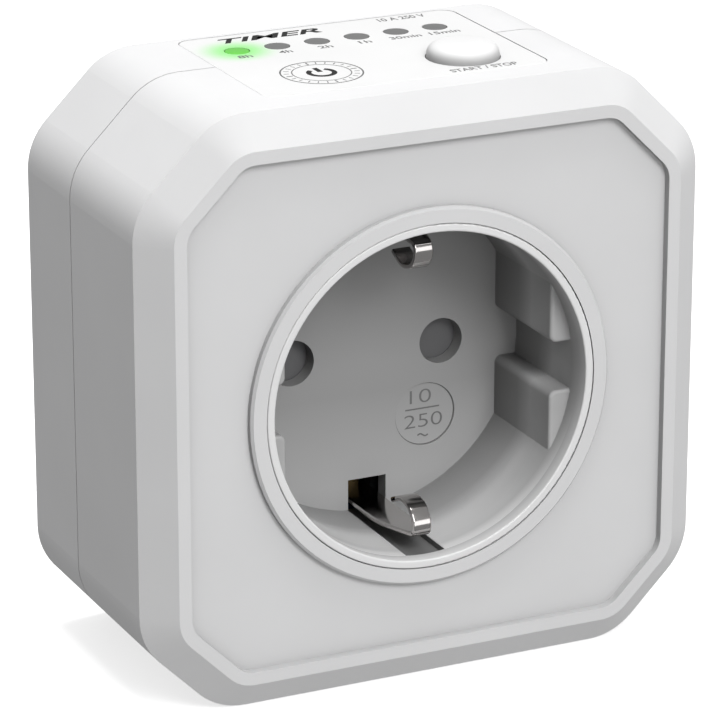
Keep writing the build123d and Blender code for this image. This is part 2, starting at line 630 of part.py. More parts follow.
with BuildPart() as microcontroller:
    block((-7.0, -38.0, CONTROL_BOARD_BOTTOM - 1.6), (3.0, -31.0, CONTROL_BOARD_BOTTOM))
    chamfer(microcontroller.faces().sort_by(Axis.Z)[0].edges(), 0.3)
save(microcontroller.part, "microcontroller")

with BuildPart() as board_header:
    header_low = (HEADER_X[0] - 1.3, -26.1, CONTROL_BOARD_BOTTOM - 2.5)
    header_high = (HEADER_X[-1] + 1.3, POWER_BOARD_FRONT, CONTROL_BOARD_BOTTOM)
    block(header_low, header_high)
save(board_header.part, "board_header")

with BuildPart() as power_board:
    with BuildSketch(at_depth(POWER_BOARD_BACK)):
        body_outline(WALL + 1.0)
        Circle(POWER_BOARD_WINDOW, mode=Mode.SUBTRACT)
        with Locations(*screw_points):
            Circle(BOSS_WALL_RADIUS + 0.6, mode=Mode.SUBTRACT)
        with Locations(*post_points):
            Circle(2.2, mode=Mode.SUBTRACT)
        with Locations((PANEL_X, TOP_FACE)):
            Rectangle(PANEL_WIDTH + 6, 2 * PAD_THICKNESS + 0.6, mode=Mode.SUBTRACT)
    extrude(amount=POWER_BOARD_BACK - POWER_BOARD_FRONT)
save(power_board.part, "power_board")

# --- Power board components -------------------------------------------------------------
RELAY_FRONT = -38.6

with BuildPart() as relay:
    block((-14.0, RELAY_FRONT, -32.0), (14.0, POWER_BOARD_FRONT, -22.0))
    fillet(relay.faces().sort_by(Axis.Y)[0].edges(), 0.5)
save(relay.part, "relay")

with BuildPart() as film_capacitor:
    block((23.2, RELAY_FRONT, -9.0), (31.2, POWER_BOARD_FRONT, 9.0))
    fillet(film_capacitor.faces().sort_by(Axis.Y)[0].edges(), 0.5)
save(film_capacitor.part, "film_capacitor")

with BuildPart() as electrolytic_capacitor:
    rod(-27.0, -4.0, 4.9, -39.5, POWER_BOARD_FRONT)
    fillet(electrolytic_capacitor.faces().sort_by(Axis.Y)[0].edges(), 0.6)
save(electrolytic_capacitor.part, "electrolytic_capacitor")

with BuildPart() as varistor:
    with BuildSketch(side_plane(-29.0)):
        with Locations((-30.5, 10.0)):
            Circle(5.0)
    extrude(amount=4.0)
    fillet(varistor.edges(), 1.2)
    for z in (7.5, 12.5):
        rod(-27.0, z, 0.4, -31.0, POWER_BOARD_FRONT)
save(varistor.part, "varistor")

with BuildPart() as fuse:
    rod(-26.5, -16.5, 3.6, -31.6, POWER_BOARD_FRONT)
    fillet(fuse.faces().sort_by(Axis.Y)[0].edges(), 0.4)
save(fuse.part, "fuse")

# --- Fasteners --------------------------------------------------------------------------
CASE_SCREW_TIP = -42.0
CROSS_WIDTH = 0.8
CROSS_LENGTH = 3.0

with BuildPart() as case_screws:
    for x, z in screw_points:
        rod(x, z, PILOT_RADIUS, CASE_SCREW_TIP, SCREW_HEAD_SEAT)
        rod(x, z, SCREW_HEAD_RADIUS, SCREW_HEAD_SEAT, SCREW_HEAD_SEAT + 1.8)
        for half_x, half_z in ((CROSS_LENGTH / 2, CROSS_WIDTH / 2), (CROSS_WIDTH / 2, CROSS_LENGTH / 2)):
            cross_low = (x - half_x, SCREW_HEAD_SEAT + 0.7, z - half_z)
            cross_high = (x + half_x, SCREW_HEAD_SEAT + 2, z + half_z)
            block(cross_low, cross_high, Mode.SUBTRACT)
save(case_screws.part, "case_screws")

with BuildPart() as base_screws:
    for side in (-1, 1):
        rod(side * BASE_SCREW_X, 0, 1.1, FLOOR_FRONT + 0.8, BASE_BACK)
        rod(side * BASE_SCREW_X, 0, 2.0, BASE_BACK, BASE_BACK + 1.3)
        block(
            (side * BASE_SCREW_X - 1.5, BASE_BACK + 0.8, -0.3),
            (side * BASE_SCREW_X + 1.5, BASE_BACK + 2, 0.3),
            Mode.SUBTRACT,
        )
save(base_screws.part, "base_screws")

with BuildPart() as panel_screws:
    for x, y in panel_legs:
        post(x, y, 0.7, CONTROL_BOARD_BOTTOM, PANEL_UNDERSIDE - 0.7)
        post(x, y, 1.5, CONTROL_BOARD_BOTTOM - 1, CONTROL_BOARD_BOTTOM)
save(panel_screws.part, "panel_screws")
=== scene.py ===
# %% [markdown]
# # A plug-in timer socket
#
# The model was designed as separate CAD solids. This script loads them as a fixed frame,
# gives every solid a finish, and rebuilds the surfaces that the eye lands on as smooth
# meshes. Lengths are in metres, +Z is up and the socket faces -Y.

# %% Load the frame
import bpy
import json
import math
import numpy as np
from mathutils import Matrix, Vector


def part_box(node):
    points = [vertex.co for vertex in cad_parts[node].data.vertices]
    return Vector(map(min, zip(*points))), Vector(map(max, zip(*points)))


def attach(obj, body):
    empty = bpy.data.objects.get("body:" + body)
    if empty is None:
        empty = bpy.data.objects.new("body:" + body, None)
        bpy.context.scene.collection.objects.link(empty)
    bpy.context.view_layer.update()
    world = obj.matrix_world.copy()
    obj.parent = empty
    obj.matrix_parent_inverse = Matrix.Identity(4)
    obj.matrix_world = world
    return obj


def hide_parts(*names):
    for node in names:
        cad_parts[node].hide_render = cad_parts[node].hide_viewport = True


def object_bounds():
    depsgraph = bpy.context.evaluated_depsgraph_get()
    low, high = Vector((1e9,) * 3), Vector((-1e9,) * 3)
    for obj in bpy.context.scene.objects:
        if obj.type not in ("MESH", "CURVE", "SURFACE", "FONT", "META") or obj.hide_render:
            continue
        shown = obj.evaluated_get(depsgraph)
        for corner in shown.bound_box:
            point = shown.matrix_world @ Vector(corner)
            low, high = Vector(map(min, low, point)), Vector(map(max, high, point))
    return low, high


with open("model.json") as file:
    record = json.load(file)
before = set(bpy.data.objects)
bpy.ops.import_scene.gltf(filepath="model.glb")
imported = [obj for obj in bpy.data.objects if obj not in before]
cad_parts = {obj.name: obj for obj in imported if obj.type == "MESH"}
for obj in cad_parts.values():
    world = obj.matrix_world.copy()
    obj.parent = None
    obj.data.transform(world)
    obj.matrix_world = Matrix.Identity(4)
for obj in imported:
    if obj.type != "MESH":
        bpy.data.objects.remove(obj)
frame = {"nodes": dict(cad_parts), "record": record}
cad_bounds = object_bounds()
MM = 0.001

# %% [markdown]
# ## Measures
#
# The solids are already in place, so the smooth pieces take their sizes from them instead
# of repeating numbers. The box round a solid is all that is needed. A round solid arrives
# as flat facets, which miss its true width by a few thousandths of a millimetre, so the
# box is rounded to the nearest hundredth.

# %% Box of a solid


def box_mm(node):
    """The lowest corner, the highest corner and the middle of a solid, in mm."""
    low, high = (np.round(np.array(corner) / MM, 2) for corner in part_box(node))
    return low, high, np.round((low + high) / 2, 2)


print("body from", box_mm("front_housing")[0], "to", box_mm("rear_housing")[1])

# %% [markdown]
# ## Camera
#
# Small goods are usually shown from far away with a long lens, because a close lens makes
# a square body look like a wedge. An orthographic camera would remove the wedge, but it
# also removes the last trace of depth, so this is a true lens of 211 mm. It stands to the
# left and a little above, where the socket, the top panel and the left side all show.

# %% Camera
CAMERA_PLACE = Vector((-0.1973, -0.45119, 0.16079))
CAMERA_TURN = math.radians(-25.299)
CAMERA_DROP = math.radians(19.376)
LENS = 210.9
SENSOR = 36.0

camera_data = bpy.data.cameras.new("camera")
camera_data.lens = LENS
camera_data.sensor_width = SENSOR
camera_data.clip_start = 0.01
camera = bpy.data.objects.new("camera", camera_data)
camera.location = CAMERA_PLACE
camera.rotation_euler = (math.radians(90) - CAMERA_DROP, 0.0, CAMERA_TURN)
bpy.context.scene.collection.objects.link(camera)
bpy.context.scene.camera = camera
print("camera lens", camera_data.lens)

# %% [markdown]
# ## Short names for shader nodes
#
# The sky and the finishes are small networks of nodes. They could be wired by hand in the
# shader editor, or in code with one line for every node, setting and link. These few
# functions make a node and feed it in one call, so that the cells below read as recipes.

# %% Node helpers
WHITE = (1.0, 1.0, 1.0, 1.0)


def grey(level):
    """An even grey, as a colour with alpha."""
    return (level, level, level, 1.0)


def new_node(tree, kind, inputs=None, **settings):
    """A shader node. Each input, by name or number, is a fixed value or another node's output."""
    node = tree.nodes.new("ShaderNode" + kind)
    for setting, value in settings.items():
        setattr(node, setting, value)
    for key, value in (inputs or {}).items():
        if isinstance(value, bpy.types.NodeSocket):
            tree.links.new(value, node.inputs[key])
        else:
            node.inputs[key].default_value = value
    return node


def arithmetic(tree, operation, *values):
    """The result of one sum on numbers, each fixed or from a node."""
    return new_node(tree, "Math", dict(enumerate(values)), operation=operation).outputs["Value"]


def ramp(tree, value, start, stop, low=0.0, high=1.0, ease="LINEAR"):
    """A number that goes from low to high while value goes from start to stop, and no further."""
    reach = {"Value": value, "From Min": start, "From Max": stop, "To Min": low, "To Max": high}
    return new_node(tree, "MapRange", reach, interpolation_type=ease).outputs["Result"]


def surface_axis(tree, axis, space="Object"):
    """One axis of where a surface point is, or with space "Normal" of the way it faces."""
    place = new_node(tree, "TexCoord")
    return new_node(tree, "SeparateXYZ", {"Vector": place.outputs[space]}).outputs[axis]


print("node helpers ready")

# %% [markdown]
# ## Studio
#
# White plastic on white takes most of its tones from the lights. One big soft light above
# makes the top the brightest side. One high in front reaches into the socket, and a weak
# one at eye level fills the front. The fourth is a card that only shows in shiny metal,
# where it draws the bright stripes on the earth clips. An environment image could do all
# of this at once, but four lights can be set one by one.

# %% Lights
bpy.context.scene.view_settings.view_transform = "Standard"


def soft_light(name, place, target, size, power):
    """A square area light of the given size, aimed from place at target."""
    data = bpy.data.lights.new(name, "AREA")
    data.shape = "SQUARE"
    data.size = size
    data.energy = power
    light = bpy.data.objects.new(name, data)
    light.location = place
    light.rotation_euler = (Vector(target) - Vector(place)).to_track_quat("-Z", "Y").to_euler()
    bpy.context.scene.collection.objects.link(light)
    return light


MIDDLE = Vector((0.0, -0.0355, 0.0))
soft_light("top_light", (0.0, -0.0355, 0.9), MIDDLE, size=0.5, power=5.1)
soft_light("upper_front_light", (0.0, -0.8, 0.6), MIDDLE, size=0.4, power=3.6)
soft_light("front_light", (0.0, -1.03, 0.06), MIDDLE, size=0.4, power=1.0)
shine_card = soft_light("shine_card", (0.42, -0.98, 0.2), MIDDLE, size=0.5, power=1.2)
shine_card.visible_diffuse = False
print("lights: 4")

# %% [markdown]
# ## Sky
#
# The sky fills in what the lights leave dark. A plain grey world would do for the plastic,
# but metal mirrors it and turns flat, so the sky is a little brighter above the horizon
# than below. The camera itself sees white, which gives the clean backdrop. Light does not
# bounce between surfaces here, so the depth of the socket stays dark and crisp, and painted
# shade in the insert's colour sets its tones.

# %% Sky
SKY_LOW, SKY_HIGH = 0.29, 0.35
HORIZON_HALF = 0.05
world = bpy.data.worlds.new("studio")
world.use_nodes = True
sky = world.node_tree
sky_light = ramp(
    sky, surface_axis(sky, "Z", "Generated"), -HORIZON_HALF, HORIZON_HALF, SKY_LOW, SKY_HIGH
)
camera_ray = new_node(sky, "LightPath").outputs["Is Camera Ray"]
sky_white = new_node(sky, "Mix", {"Factor": camera_ray, "A": sky_light, "B": 1.0})
background = sky.nodes["Background"]
background.inputs["Color"].default_value = WHITE
sky.links.new(sky_white.outputs["Result"], background.inputs["Strength"])
bpy.context.scene.world = world
bpy.context.scene.cycles.diffuse_bounces = 0
print("sky from", SKY_LOW, "to", SKY_HIGH)

# %% [markdown]
# ## Floor
#
# The body stands on a white table that melts into the backdrop. A shadow catcher would
# leave only the shadow, but a pale sheet that also glows a little gives the same soft,
# faint shadow and no visible edge. It is kept out of reflections and of the light on the
# underside. It belongs to the stage and not to the part.

# %% Floor
FLOOR_SIZE = 6.0
FLOOR_GLOW = 0.72
floor_height = cad_bounds[0][2]
bpy.ops.mesh.primitive_plane_add(size=FLOOR_SIZE, location=(0.0, 0.0, floor_height))
floor = bpy.context.object
floor.name = "floor"
floor.visible_diffuse = False
floor.visible_glossy = False
floor.visible_shadow = False
floor_finish = bpy.data.materials.new("floor")
floor_finish.use_nodes = True
floor_shader = floor_finish.node_tree.nodes["Principled BSDF"]
floor_shader.inputs["Base Color"].default_value = grey(0.9)
floor_shader.inputs["Roughness"].default_value = 0.9
floor_shader.inputs["Emission Color"].default_value = WHITE
floor_shader.inputs["Emission Strength"].default_value = FLOOR_GLOW
floor.data.materials.append(floor_finish)
print("floor at", floor_height)

# %% [markdown]
# ## Finishes
#
# The body is moulded in white plastic with a fine, even grain. The pins and the clips
# are nickel plated, the hidden contacts are brass, and the parts on the boards have the
# usual coats. Painted image maps could carry all this, but then each solid would have to
# be unwrapped. Here every finish is a formula in object space: a plain colour with a
# faint broad mottle, a fine grain as a bump, and a roughness that drifts a little from
# place to place. A metal is the same recipe with the metal switch on.

# %% Finishes
MOTTLE_SCALE = 90.0
PLASTIC_GRAIN = 0.000006
METAL_GRAIN = 0.000002
POLISHED_GRAIN = 0.000001


def finish(
    name, colour, roughness, metal=0.0, grain=1400.0, depth=PLASTIC_GRAIN, mottle=0.03, glow=None
):
    """A procedural surface: colour with a broad mottle, fine grain as a bump, drifting roughness.

    glow is a colour and a strength, four numbers.
    """
    material = bpy.data.materials.new(name)
    material.use_nodes = True
    tree = material.node_tree
    place = new_node(tree, "TexCoord").outputs["Object"]
    broad_noise = new_node(
        tree, "TexNoise", {"Vector": place, "Scale": MOTTLE_SCALE, "Detail": 3.0}
    )
    broad = broad_noise.outputs["Fac"]
    fine_noise = new_node(tree, "TexNoise", {"Vector": place, "Scale": grain, "Detail": 2.0})
    fine = fine_noise.outputs["Fac"]
    darker = tuple(c * (1.0 - mottle) for c in colour) + (1.0,)
    lighter = tuple(min(1.0, c * (1.0 + mottle)) for c in colour) + (1.0,)
    tint = new_node(tree, "Mix", {"Factor": broad, "A": darker, "B": lighter}, data_type="RGBA")
    drift = new_node(
        tree, "MapRange", {"Value": broad, "To Min": roughness * 0.88, "To Max": roughness * 1.12}
    )
    bump = new_node(tree, "Bump", {"Height": fine, "Strength": 0.5, "Distance": depth})
    shader = tree.nodes["Principled BSDF"]
    tree.links.new(tint.outputs["Result"], shader.inputs["Base Color"])
    tree.links.new(drift.outputs["Result"], shader.inputs["Roughness"])
    tree.links.new(bump.outputs["Normal"], shader.inputs["Normal"])
    shader.inputs["Metallic"].default_value = metal
    shader.inputs["Specular IOR Level"].default_value = 0.35
    if glow:
        shader.inputs["Emission Color"].default_value = glow[:3] + (1.0,)
        shader.inputs["Emission Strength"].default_value = glow[3]
    return material


LED_GLOW = (0.2, 0.8, 0.1, 0.03)
finishes = {
    "housing": finish("housing", (0.86, 0.86, 0.865), 0.5),
    "insert": finish("insert", (0.96, 0.96, 0.96), 0.5, mottle=0.02),
    "panel": finish("panel", (0.88, 0.88, 0.88), 0.45),
    "button": finish("button", (0.86, 0.86, 0.86), 0.4),
    "nickel": finish("nickel", (0.55, 0.53, 0.52), 0.14, metal=1.0, depth=POLISHED_GRAIN),
    "brass": finish("brass", (0.32, 0.235, 0.11), 0.35, metal=1.0, depth=METAL_GRAIN),
    "steel": finish("steel", (0.6, 0.6, 0.62), 0.32, metal=1.0, depth=METAL_GRAIN),
    "base_plastic": finish("base_plastic", (0.035, 0.035, 0.038), 0.55),
    "shutter_plastic": finish("shutter_plastic", (0.2, 0.2, 0.205), 0.5),
    "led_lit": finish("led_lit", (0.15, 0.64, 0.075), 0.25, mottle=0.06, glow=LED_GLOW),
    "led_dark": finish("led_dark", (0.185, 0.185, 0.185), 0.3, mottle=0.06),
    "circuit_board": finish("circuit_board", (0.02, 0.15, 0.05), 0.35, mottle=0.15),
    "black_plastic": finish("black_plastic", (0.02, 0.02, 0.022), 0.45),
    "relay_case": finish("relay_case", (0.03, 0.1, 0.32), 0.35),
    "film_case": finish("film_case", (0.6, 0.43, 0.06), 0.45, mottle=0.06),
    "can_sleeve": finish("can_sleeve", (0.02, 0.03, 0.1), 0.3),
    "varistor_coat": finish("varistor_coat", (0.04, 0.1, 0.38), 0.5, mottle=0.1),
}
print("finishes:", len(finishes))

# %% [markdown]
# ## Dressing the solids
#
# The design's own record names a finish for each of its solids, so no choice is made
# here. Each solid drops the plain material it came with and takes the named one.

# %% Dress the solids
slot_of = {part["node"]: part["material_slot"] for part in frame["record"]["subparts"]}
for node_name, node in frame["nodes"].items():
    node.data.materials.clear()
    node.data.materials.append(finishes[slot_of[node_name]])
print("dressed:", len(slot_of))

# %% [markdown]
# ## Painted shade in the socket's well
#
# The rim of the real insert looks bright and its well greyer, because less light reaches
# into the well. Under these lights alone the tones of the wall, the ribs and the floor come
# out wrong, so that shade is painted into the insert's own colour: it is multiplied by a
# ramp of painted shade from the rim to the floor, lifted with painted light below the
# middle, and darkened with painted shade in the two clip grooves. The numbers were tuned
# until the well looked right in one view and one light. They follow no law: the ramp goes
# down, up and down again, while the real plastic seems to be one even white. For another
# light, set every shade and the lift to 1.

# %% Painted depth shade
PAINTED_DEPTH_SHADES = ((0.04, 0.97), (0.1, 0.8), (0.2, 0.62), (0.47, 0.94), (0.66, 0.6), (0.97, 0.46))
PAINTED_FLOOR_SHADE = 0.5
RIM_FRONT = box_mm("socket_insert")[0][1]
RIM_Y, SHADE_END_Y = RIM_FRONT * MM, (RIM_FRONT + 17.5) * MM
RIM_BACK_Y = (RIM_FRONT + 1.75) * MM
LIFT_FULL_Z, LIFT_NONE_Z = -16.0 * MM, -5.0 * MM
PAINTED_LIGHT_LIFT = 1.46
GROOVE_START, GROOVE_FULL = 19.22 * MM, 19.3 * MM
GROOVE_PAINTED_SHADE = grey(0.3)


def recolour(finish_name, share, colour, blend="MULTIPLY"):
    """Blend a colour into a finish's own. Share and colour are fixed or come from a node."""
    tree = finishes[finish_name].node_tree
    base = tree.nodes["Principled BSDF"].inputs["Base Color"]
    layers = {"Factor": share, "A": base.links[0].from_socket, "B": colour}
    mix = new_node(tree, "Mix", layers, data_type="RGBA", blend_type=blend)
    tree.links.new(mix.outputs["Result"], base)


insert = finishes["insert"].node_tree
depth_along, height = surface_axis(insert, "Y"), surface_axis(insert, "Z")
# Painted shade: the insert's colour darkens in bands from the rim to the floor of the well.
painted_depth_shade = new_node(insert, "ValToRGB", {"Fac": ramp(insert, depth_along, RIM_Y, SHADE_END_Y)})
stops = painted_depth_shade.color_ramp.elements
stops[0].color = WHITE
stops[1].color = grey(PAINTED_FLOOR_SHADE)
for stop, shade in PAINTED_DEPTH_SHADES:
    stops.new(stop).color = grey(shade)
recolour("insert", 1.0, painted_depth_shade.outputs["Color"])

behind_rim = arithmetic(insert, "GREATER_THAN", depth_along, RIM_BACK_Y)
# Painted light: behind the rim, the lower part of the well is made lighter.
recolour("insert", behind_rim, ramp(insert, height, LIFT_FULL_Z, LIFT_NONE_Z, PAINTED_LIGHT_LIFT, 1.0))

# Painted shade: the two clip grooves are greyed.
off_centre = ramp(insert, arithmetic(insert, "ABSOLUTE", height), GROOVE_START, GROOVE_FULL)
in_groove = arithmetic(insert, "MULTIPLY", off_centre, behind_rim)
recolour("insert", in_groove, GROOVE_PAINTED_SHADE, blend="MIX")
print("insert ramp stops:", len(stops))

# %% [markdown]
# ## Painted light and shade on the front bevel
#
# The front edge of the housing is a flat bevel that runs round all eight sides. Under
# these lights its upper sides come out too bright and its lower ones too dark. Better
# placed lights would be the true cure. The quick one, used here, is painted shade and
# painted light: the housing's own colour is made greyer where the bevel faces up or left
# and lighter where it faces down or right. It was tuned for one light, so for another one
# set both gains to 0.

# %% Painted bevel shade
BEVEL_RIGHT_GAIN = 0.15
BEVEL_DOWN_GAIN = 0.2
BEVEL_NORMAL_Y, NORMAL_SLACK = -0.77, 0.15
housing = finishes["housing"].node_tree
way_faced = new_node(housing, "TexCoord").outputs["Normal"]
gain_axis = (BEVEL_RIGHT_GAIN, 0.0, -BEVEL_DOWN_GAIN)
# Painted light and shade: the housing's colour follows the way the bevel faces.
facing = new_node(housing, "VectorMath", {0: way_faced, 1: gain_axis}, operation="DOT_PRODUCT")
painted_light_and_shade = arithmetic(housing, "ADD", facing.outputs["Value"], 1.0)
faced_y = surface_axis(housing, "Y", "Normal")
on_bevel = arithmetic(housing, "COMPARE", faced_y, BEVEL_NORMAL_Y, NORMAL_SLACK)
recolour("housing", on_bevel, painted_light_and_shade)
print("bevel gain:", BEVEL_RIGHT_GAIN, BEVEL_DOWN_GAIN)

# %% [markdown]
# ## Painted shade on the button's wall
#
# The button is a white cap in a white panel, and its edge shows because its wall lies in
# shade at the foot. The lights alone leave it too pale, so that shade is painted: the
# button's own colour is multiplied by a short smooth ramp in height, greyer at the foot and
# a touch lighter at the crown. This too was tuned for one light.

# %% Painted button shade
PANEL_TOP = box_mm("control_panel")[1][2]
WALL_FOOT_Z, WALL_TOP_Z = (PANEL_TOP - 0.15) * MM, (PANEL_TOP + 1.45) * MM
PAINTED_FOOT_SHADE, PAINTED_CROWN_LIGHT = 0.72, 1.04
button_tree = finishes["button"].node_tree
rise = surface_axis(button_tree, "Z")
# Painted shade at the wall's foot and a little painted light at the crown.
painted_wall_shade = ramp(
    button_tree, rise, WALL_FOOT_Z, WALL_TOP_Z, PAINTED_FOOT_SHADE, PAINTED_CROWN_LIGHT, ease="SMOOTHSTEP"
)
recolour("button", 1.0, painted_wall_shade)
print("button ramp from", round(WALL_FOOT_Z / MM, 2), "to", round(WALL_TOP_Z / MM, 2), "mm")

# %% [markdown]
# ## Painted glow round the lit lamp
#
# The 8 hour lamp is on, and its light soaks into the white panel round it. A real light
# under a translucent panel would be truer, but slower to render. Here that light is
# painted: the panel's own colour turns green with closeness to the lamp, and fades out
# smoothly.

# %% Painted glow
LAMP_NODES = ["led_8h", "led_4h", "led_2h", "led_1h", "led_30min", "led_15min"]
GLOW_EDGE, GLOW_FULL = 5.8 * MM, 0.6 * MM
PAINTED_GLOW_GREEN = (0.36, 0.9, 0.3, 1.0)
LAMP_CENTRES = [box_mm(lamp_node)[2][:2] for lamp_node in LAMP_NODES]
panel = finishes["panel"].node_tree
panel_place = new_node(panel, "TexCoord").outputs["Object"]
lit_place = Vector((*LAMP_CENTRES[0], PANEL_TOP)) * MM
from_lamp = new_node(panel, "VectorMath", {0: panel_place, 1: lit_place}, operation="DISTANCE")
closeness = ramp(panel, from_lamp.outputs["Value"], GLOW_EDGE, GLOW_FULL, ease="SMOOTHERSTEP")
# Painted light: green mixed into the panel's colour near the lit lamp.
recolour("panel", closeness, PAINTED_GLOW_GREEN, blend="MIX")
print("lamps:", len(LAMP_CENTRES))

# %% [markdown]
# ## Surfaces from rings
#
# A solid from CAD is made of flat facets, which show on a shiny curl or a domed cap. The
# pieces that the eye lands on are therefore made again as smooth surfaces. Subdivision
# would round them too, but it moves the edges. Here a piece is a row of closed rings of
# points, joined ring to ring by four-sided faces, with a fan over each end, so every edge
# stays where the design has it. The signed volume under the faces tells whether they look
# outward, and they are turned round if they don't. CORE is the radius, nearly nothing,
# at which a turned surface meets its axis.

# %% Rings to surface
CORE = 0.02


def skin(name, rings, finish_name, body, *nodes):
    """A closed surface through an array of rings (ring, point, 3), with a fan at each end.

    It rides on the body and stands in for the CAD nodes, if any are named.
    """
    count, around = rings.shape[:2]
    ends = np.array([rings[0].mean(axis=0), rings[-1].mean(axis=0)])
    points = np.vstack([rings.reshape(-1, 3), ends])
    ring, spot = np.meshgrid(np.arange(count - 1), np.arange(around), indexing="ij")
    here, along = ring * around + spot, ring * around + (spot + 1) % around
    quads = np.stack([here, along, along + around, here + around], axis=-1).reshape(-1, 4)
    spot = np.arange(around)
    after = (spot + 1) % around
    last = (count - 1) * around
    start_fan = np.stack([after, spot, np.full(around, count * around)], axis=-1)
    end_fan = np.stack([last + spot, last + after, np.full(around, count * around + 1)], axis=-1)
    fans = np.vstack([start_fan, end_fan])
    triangles = np.vstack([quads[:, [0, 1, 2]], quads[:, [0, 2, 3]], fans])
    corner = points[triangles]
    volume = np.einsum("ij,ij->i", corner[:, 0], np.cross(corner[:, 1], corner[:, 2])).sum()
    if volume < 0:
        quads, fans = quads[:, ::-1], fans[:, ::-1]
    mesh = bpy.data.meshes.new(name)
    mesh.from_pydata(points, [], quads.tolist() + fans.tolist())
    mesh.shade_smooth()
    piece = bpy.data.objects.new(name, mesh)
    bpy.context.scene.collection.objects.link(piece)
    mesh.materials.append(finishes[finish_name])
    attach(piece, body)
    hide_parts(*nodes)
    return piece


def rounded(corners, radii, steps=7):
    """A path through corners; each inner corner is a curve that starts its radius before it."""
    corners = np.asarray(corners, dtype=float)
    path = [corners[:1]]
    share = np.linspace(0.0, 1.0, steps)[:, None]
    for before, corner, after, radius in zip(corners, corners[1:], corners[2:], radii):
        lead = corner + (before - corner) / np.linalg.norm(before - corner) * radius
        leave = corner + (after - corner) / np.linalg.norm(after - corner) * radius
        path.append(lead * (1 - share) ** 2 + corner * 2 * share * (1 - share) + leave * share**2)
    path.append(corners[-1:])
    return np.vstack(path)


def turned(name, profile, axis, centre, finish_name, body, *nodes, around=96):
    """A turned surface. Profile rows are a radius and a place along the axis Y or Z, in mm."""
    angle = np.linspace(0.0, 2.0 * np.pi, around, endpoint=False)
    radius, place = profile[:, 0][:, None], profile[:, 1][:, None]
    across, up = radius * np.cos(angle), radius * np.sin(angle)
    level = np.broadcast_to(place, across.shape)
    if axis == "Z":
        rings = np.stack([across + centre[0], up + centre[1], level], axis=-1)
    else:
        rings = np.stack([across + centre[0], level, up + centre[1]], axis=-1)
    return skin(name, rings * MM, finish_name, body, *nodes)


print("rings ready")

# %% [markdown]
# ## Start button
#
# The button is one moulding: a stem that works the switch, a flange that the panel traps,
# and a softly crowned dome above the panel. It could be a cylinder with bevels, but the
# crown has a larger curve than the flange, so its outline is drawn once with a radius for
# each corner and turned round the axis. It rides on its own body and moves straight down.

# %% Start button
PANEL_THICKNESS = 1.5
PANEL_UNDERSIDE = PANEL_TOP - PANEL_THICKNESS
STEM_RADIUS, FLANGE_RADIUS, CAP_RADIUS, CROWN_RADIUS = 1.7, 5.0, 4.21, 4.12
FLANGE_TOP = PANEL_UNDERSIDE - 0.08
FLANGE_BOTTOM = FLANGE_TOP - 0.8
button_box = box_mm("start_button")
button_low, button_high = button_box[0][2], button_box[1][2]
BUTTON_CENTRE = button_box[2][:2]
button_profile = rounded(
    [
        (CORE, button_low),
        (STEM_RADIUS, button_low),
        (STEM_RADIUS, FLANGE_BOTTOM),
        (FLANGE_RADIUS, FLANGE_BOTTOM),
        (FLANGE_RADIUS, FLANGE_TOP),
        (CAP_RADIUS, FLANGE_TOP),
        (CAP_RADIUS, PANEL_UNDERSIDE + 1.2),
        (CROWN_RADIUS, button_high - 0.14),
        (CORE, button_high),
    ],
    [0.2, 0.1, 0.15, 0.15, 0.1, 0.4, 1.35],
    steps=14,
)
turned(
    "start_button_cap", button_profile, "Z", BUTTON_CENTRE, "button", "start_button", "start_button"
)
print("button top:", round(button_high, 2), "mm")

# %% [markdown]
# ## Lamps
#
# Six small lamps show how long is left. Each is a round lens, flush with the panel, with
# a flange at its foot. Discs painted on the panel would look the same from far away, but
# a lens with a soft edge and a faint crown catches its own highlight. One outline serves
# all six, and only the first has the lit finish.

# %% Lamps
LENS_RADIUS, LENS_FLANGE_RADIUS, LENS_FLANGE_HIGH, LENS_CROWN = 1.45, 1.7, 1.0, 0.04
lamp_box = box_mm("led_8h")
lamp_low, lamp_high = lamp_box[0][2], lamp_box[1][2]
lamp_profile = rounded(
    [
        (CORE, lamp_low),
        (LENS_FLANGE_RADIUS, lamp_low),
        (LENS_FLANGE_RADIUS, lamp_low + LENS_FLANGE_HIGH),
        (LENS_RADIUS, lamp_low + LENS_FLANGE_HIGH),
        (LENS_RADIUS, lamp_high - LENS_CROWN),
        (CORE, lamp_high),
    ],
    [0.1, 0.1, 0.1, 0.16],
    steps=8,
)
for lamp_node, lamp_centre in zip(LAMP_NODES, LAMP_CENTRES):
    lamp_finish = "led_lit" if lamp_node == "led_8h" else "led_dark"
    turned(
        lamp_node + "_lens", lamp_profile, "Z", lamp_centre, lamp_finish, "case", lamp_node, around=64
    )
print("lenses:", len(LAMP_NODES))

# %% [markdown]
# ## Plug pins
#
# The two plug pins are turned from bar and plated. Each has a thinner shank that the boss
# grips, a shoulder, and a long body with a round nose. They are made on the same lathe as
# the button, with the widths and ends of the solids they replace.

# %% Plug pins
SHANK_RADIUS = 2.0
pin_low, pin_high, pin_middle = box_mm("plug_pin_right")
PIN_RADIUS = pin_high[0] - pin_middle[0]
SHANK_END, PIN_END = pin_low[1], pin_high[1]
pin_profile = rounded(
    [
        (CORE, SHANK_END),
        (SHANK_RADIUS, SHANK_END),
        (SHANK_RADIUS, 0.0),
        (PIN_RADIUS, 0.0),
        (PIN_RADIUS, PIN_END),
        (CORE, PIN_END),
    ],
    [0.2, 0.1, 0.25, 2.0],
    steps=14,
)
for pin_node in ("plug_pin_left", "plug_pin_right"):
    pin_centre = (box_mm(pin_node)[2][0], 0.0)
    turned(pin_node + "_turned", pin_profile, "Y", pin_centre, "nickel", "case", pin_node)
print("pins: 2, radius", round(PIN_RADIUS, 2), "mm")

# %% [markdown]
# ## Earth clips
#
# Each clip is one strip of nickelled spring sheet that touches the plug's earth contact.
# Bending a flat strip with modifiers is hard to steer, and a bevelled curve with a taper
# thins the sheet as it narrows. So the strip is a row of sections along a line in the
# plane of symmetry: straight along the wall, inward at the mouth, round the nose and
# back. Each section is a flat rectangle with rounded edges. It narrows from the bend to
# the nose and keeps that width round the curl.

